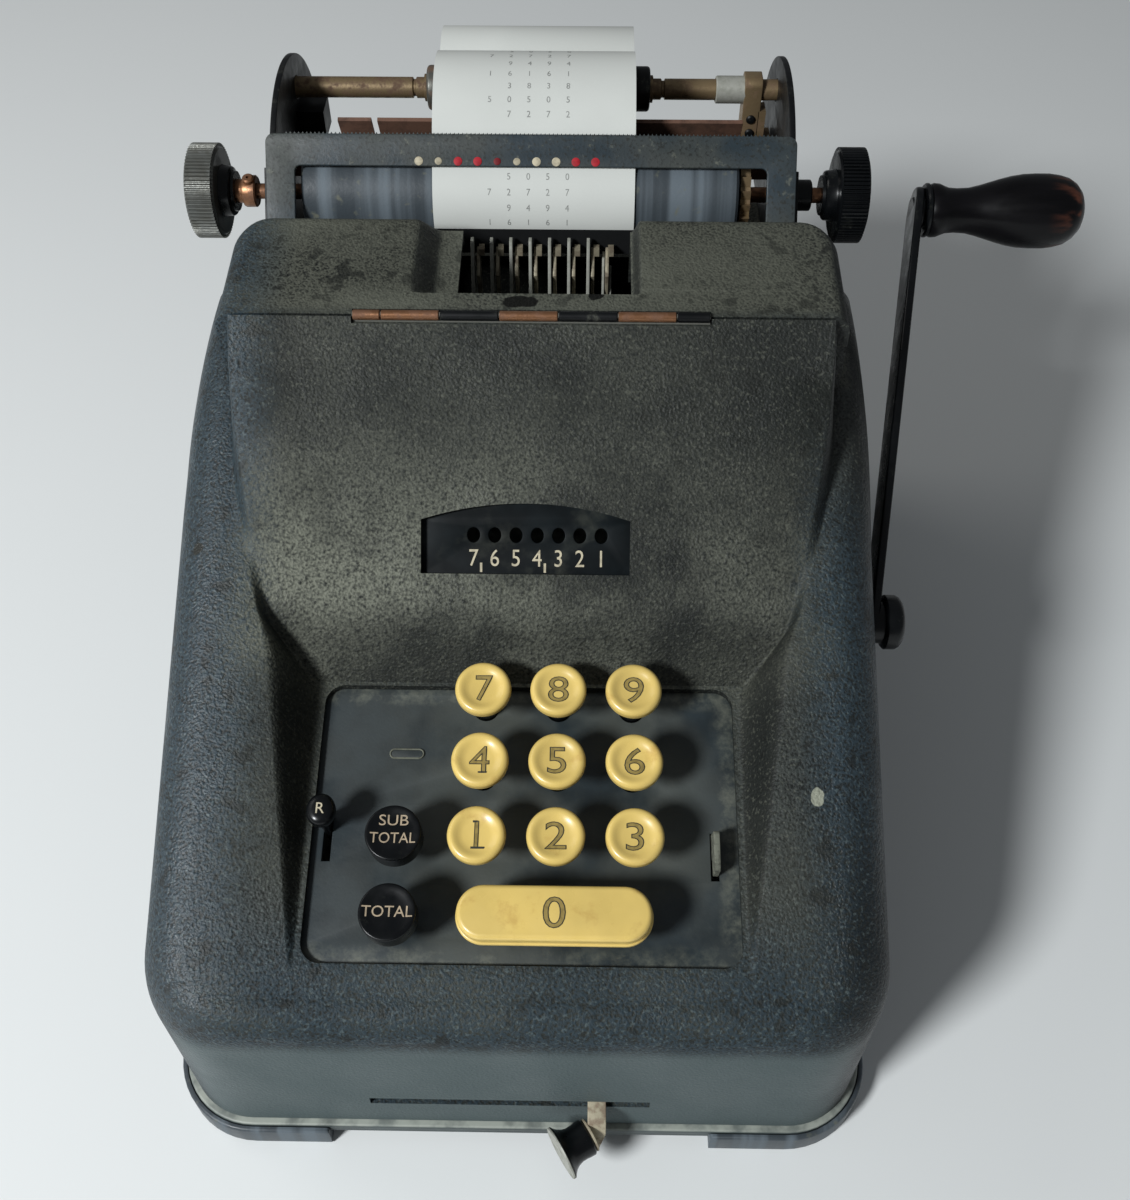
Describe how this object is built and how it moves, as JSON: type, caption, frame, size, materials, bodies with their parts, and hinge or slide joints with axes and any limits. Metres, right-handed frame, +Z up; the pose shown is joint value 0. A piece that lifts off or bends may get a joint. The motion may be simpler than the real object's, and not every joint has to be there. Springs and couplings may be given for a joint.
{
  "type": "hand-cranked printing adding machine",
  "caption": "Desk adding machine with sloping casing, ten-key keyboard, column window, platen carriage with paper tape and a side crank.",
  "frame": {"origin": "middle of the overall bounding box, crank included, on the surface the machine stands on", "axes": "+X to the operator's right, +Y from the front wall to the back, +Z up"},
  "size_m": [0.261, 0.3006, 0.1878],
  "materials": {
    "crackle_paint": "matte",
    "smooth_paint": "satin",
    "panel_paint": "satin",
    "cream_plastic": "gloss",
    "black_plastic": "gloss",
    "black_steel": "gloss",
    "rubber": "matte",
    "steel": "satin",
    "brass": "worn",
    "rusty_steel": "rusty",
    "paper": "matte",
    "dark_wood": "gloss"
  },
  "bodies": {
    "machine": {"main_casing": "crackle_paint", "base_pan": "smooth_paint", "foot_front_left": "rubber", "foot_front_right": "rubber", "foot_rear_left": "rubber", "foot_rear_right": "rubber", "keyboard_panel": "panel_paint", "window_plate": "panel_paint", "hinge_leaf_fixed": "steel", "hinge_pin": "steel", "side_frame_left": "steel", "side_frame_right": "steel", "pin_carriage_rail": "steel", "type_guide_comb": "steel", "carriage_end_left": "crackle_paint", "carriage_end_right": "crackle_paint", "tear_bar": "crackle_paint", "paper_guide_plate": "rusty_steel", "paper_tape": "paper", "roll_spindle_left": "brass", "spindle_bracket": "brass"},
    "lid": {"ribbon_cover": "crackle_paint", "hinge_leaf_moving": "brass"},
    "crank": {"crank_shaft": "steel", "crank_arm": "black_steel"},
    "grip": {"crank_grip": "dark_wood"},
    "repeat": {"repeat_lever": "steel", "repeat_knob": "black_plastic"},
    "correction": {"correction_lever": "steel"},
    "pin_box": {"pin_carriage": "brass", "clear_lever": "brass", "clear_knob": "black_plastic"},
    "platen_set": {"platen": "rubber", "platen_shaft": "steel", "platen_knob_left": "black_plastic", "platen_knob_right": "black_plastic"},
    "roll": {"paper_roll": "paper"},
    "spindle_right": {"roll_spindle_right": "brass"},
    "spool_left": {"ribbon_spool_left": "steel"},
    "spool_right": {"ribbon_spool_right": "steel"},
    "key_0_body": {"key_0": "cream_plastic"},
    "key_1_body": {"key_1": "cream_plastic"},
    "key_2_body": {"key_2": "cream_plastic"},
    "key_3_body": {"key_3": "cream_plastic"},
    "key_4_body": {"key_4": "cream_plastic"},
    "key_5_body": {"key_5": "cream_plastic"},
    "key_6_body": {"key_6": "cream_plastic"},
    "key_7_body": {"key_7": "cream_plastic"},
    "key_8_body": {"key_8": "cream_plastic"},
    "key_9_body": {"key_9": "cream_plastic"},
    "subtotal_key_body": {"subtotal_key": "black_plastic"},
    "total_key_body": {"total_key": "black_plastic"},
    "type_bar_1_body": {"type_bar_1": "steel"},
    "type_bar_2_body": {"type_bar_2": "steel"},
    "type_bar_3_body": {"type_bar_3": "steel"},
    "type_bar_4_body": {"type_bar_4": "steel"},
    "type_bar_5_body": {"type_bar_5": "steel"},
    "type_bar_6_body": {"type_bar_6": "steel"},
    "type_bar_7_body": {"type_bar_7": "steel"},
    "type_bar_symbol_body": {"type_bar_symbol": "steel"}
  },
  "joints": [
    {"name": "lid_hinge", "type": "hinge", "parent": "machine", "child": "lid", "pos_m": [-0.0296, 0.0132, 0.1642], "axis": [1, 0, 0], "range_deg": [0, 110]},
    {"name": "crank_turn", "type": "hinge", "parent": "machine", "child": "crank", "pos_m": [0.0609, -0.0302, 0.0965], "axis": [1, 0, 0], "range_deg": [0, 80], "stiffness_Nm_per_rad": 0.35, "springref_deg": -34.38},
    {"name": "grip_spin", "type": "hinge", "parent": "crank", "child": "grip", "pos_m": [0.0939, 0.0825, 0.15171], "axis": [1, 0, 0], "continuous": true},
    {"name": "repeat_slide", "type": "slide", "parent": "machine", "child": "repeat", "axis": [0, -0.9686, -0.2487], "range_m": [0, 0.006]},
    {"name": "correction_slide", "type": "slide", "parent": "machine", "child": "correction", "axis": [0, -0.9686, -0.2487], "range_m": [0, 0.005], "stiffness_N_per_m": 100, "springref_m": -0.003},
    {"name": "pin_box_slide", "type": "slide", "parent": "machine", "child": "pin_box", "axis": [1, 0, 0], "range_m": [-0.055, 0.011]},
    {"name": "platen_spin", "type": "hinge", "parent": "machine", "child": "platen_set", "pos_m": [-0.0311, 0.0823, 0.1565], "axis": [1, 0, 0], "continuous": true},
    {"name": "roll_spin", "type": "hinge", "parent": "machine", "child": "roll", "pos_m": [-0.0311, 0.1223, 0.168], "axis": [1, 0, 0], "continuous": true},
    {"name": "spindle_pull", "type": "slide", "parent": "machine", "child": "spindle_right", "axis": [1, 0, 0], "range_m": [0, 0.0055], "stiffness_N_per_m": 300, "springref_m": -0.004},
    {"name": "spool_left_spin", "type": "hinge", "parent": "machine", "child": "spool_left", "pos_m": [-0.0841, 0.0343, 0.142], "axis": [0, 0, 1], "continuous": true},
    {"name": "spool_right_spin", "type": "hinge", "parent": "machine", "child": "spool_right", "pos_m": [0.0219, 0.0343, 0.142], "axis": [0, 0, 1], "continuous": true},
    {"name": "key_0_press", "type": "slide", "parent": "machine", "child": "key_0_body", "axis": [0, 0.2487, -0.9686], "range_m": [0, 0.0045], "stiffness_N_per_m": 150, "springref_m": -0.004},
    {"name": "key_1_press", "type": "slide", "parent": "machine", "child": "key_1_body", "axis": [0, 0.2487, -0.9686], "range_m": [0, 0.0045], "stiffness_N_per_m": 150, "springref_m": -0.004},
    {"name": "key_2_press", "type": "slide", "parent": "machine", "child": "key_2_body", "axis": [0, 0.2487, -0.9686], "range_m": [0, 0.0045], "stiffness_N_per_m": 150, "springref_m": -0.004},
    {"name": "key_3_press", "type": "slide", "parent": "machine", "child": "key_3_body", "axis": [0, 0.2487, -0.9686], "range_m": [0, 0.0045], "stiffness_N_per_m": 150, "springref_m": -0.004},
    {"name": "key_4_press", "type": "slide", "parent": "machine", "child": "key_4_body", "axis": [0, 0.2487, -0.9686], "range_m": [0, 0.0045], "stiffness_N_per_m": 150, "springref_m": -0.004},
    {"name": "key_5_press", "type": "slide", "parent": "machine", "child": "key_5_body", "axis": [0, 0.2487, -0.9686], "range_m": [0, 0.0045], "stiffness_N_per_m": 150, "springref_m": -0.004},
    {"name": "key_6_press", "type": "slide", "parent": "machine", "child": "key_6_body", "axis": [0, 0.2487, -0.9686], "range_m": [0, 0.0045], "stiffness_N_per_m": 150, "springref_m": -0.004},
    {"name": "key_7_press", "type": "slide", "parent": "machine", "child": "key_7_body", "axis": [0, 0.2487, -0.9686], "range_m": [0, 0.0045], "stiffness_N_per_m": 150, "springref_m": -0.004},
    {"name": "key_8_press", "type": "slide", "parent": "machine", "child": "key_8_body", "axis": [0, 0.2487, -0.9686], "range_m": [0, 0.0045], "stiffness_N_per_m": 150, "springref_m": -0.004},
    {"name": "key_9_press", "type": "slide", "parent": "machine", "child": "key_9_body", "axis": [0, 0.2487, -0.9686], "range_m": [0, 0.0045], "stiffness_N_per_m": 150, "springref_m": -0.004},
    {"name": "subtotal_key_press", "type": "slide", "parent": "machine", "child": "subtotal_key_body", "axis": [0, 0.2487, -0.9686], "range_m": [0, 0.0045], "stiffness_N_per_m": 150, "springref_m": -0.004},
    {"name": "total_key_press", "type": "slide", "parent": "machine", "child": "total_key_body", "axis": [0, 0.2487, -0.9686], "range_m": [0, 0.0045], "stiffness_N_per_m": 150, "springref_m": -0.004},
    {"name": "type_bar_1_lift", "type": "slide", "parent": "machine", "child": "type_bar_1_body", "axis": [0, 0, 1], "range_m": [0, 0.0102]},
    {"name": "type_bar_2_lift", "type": "slide", "parent": "machine", "child": "type_bar_2_body", "axis": [0, 0, 1], "range_m": [0, 0.0102]},
    {"name": "type_bar_3_lift", "type": "slide", "parent": "machine", "child": "type_bar_3_body", "axis": [0, 0, 1], "range_m": [0, 0.0102]},
    {"name": "type_bar_4_lift", "type": "slide", "parent": "machine", "child": "type_bar_4_body", "axis": [0, 0, 1], "range_m": [0, 0.0102]},
    {"name": "type_bar_5_lift", "type": "slide", "parent": "machine", "child": "type_bar_5_body", "axis": [0, 0, 1], "range_m": [0, 0.0102]},
    {"name": "type_bar_6_lift", "type": "slide", "parent": "machine", "child": "type_bar_6_body", "axis": [0, 0, 1], "range_m": [0, 0.0102]},
    {"name": "type_bar_7_lift", "type": "slide", "parent": "machine", "child": "type_bar_7_body", "axis": [0, 0, 1], "range_m": [0, 0.0102]},
    {"name": "type_bar_symbol_lift", "type": "slide", "parent": "machine", "child": "type_bar_symbol_body", "axis": [0, 0, 1], "range_m": [0, 0.0102]}
  ],
  "couplings": [
    {"joint": "type_bar_1_lift", "follows": "crank_turn", "m_per_rad": 0.007162},
    {"joint": "type_bar_2_lift", "follows": "crank_turn", "m_per_rad": 0.007162},
    {"joint": "type_bar_3_lift", "follows": "crank_turn", "m_per_rad": 0.007162},
    {"joint": "type_bar_4_lift", "follows": "crank_turn", "m_per_rad": 0.007162},
    {"joint": "type_bar_5_lift", "follows": "crank_turn", "m_per_rad": 0.007162},
    {"joint": "type_bar_6_lift", "follows": "crank_turn", "m_per_rad": 0.007162},
    {"joint": "type_bar_7_lift", "follows": "crank_turn", "m_per_rad": 0.007162},
    {"joint": "type_bar_symbol_lift", "follows": "crank_turn", "m_per_rad": 0.007162},
    {"joint": "roll_spin", "follows": "platen_spin", "ratio": 0.8857},
    {"joint": "spool_right_spin", "follows": "spool_left_spin", "ratio": 1}
  ]
}
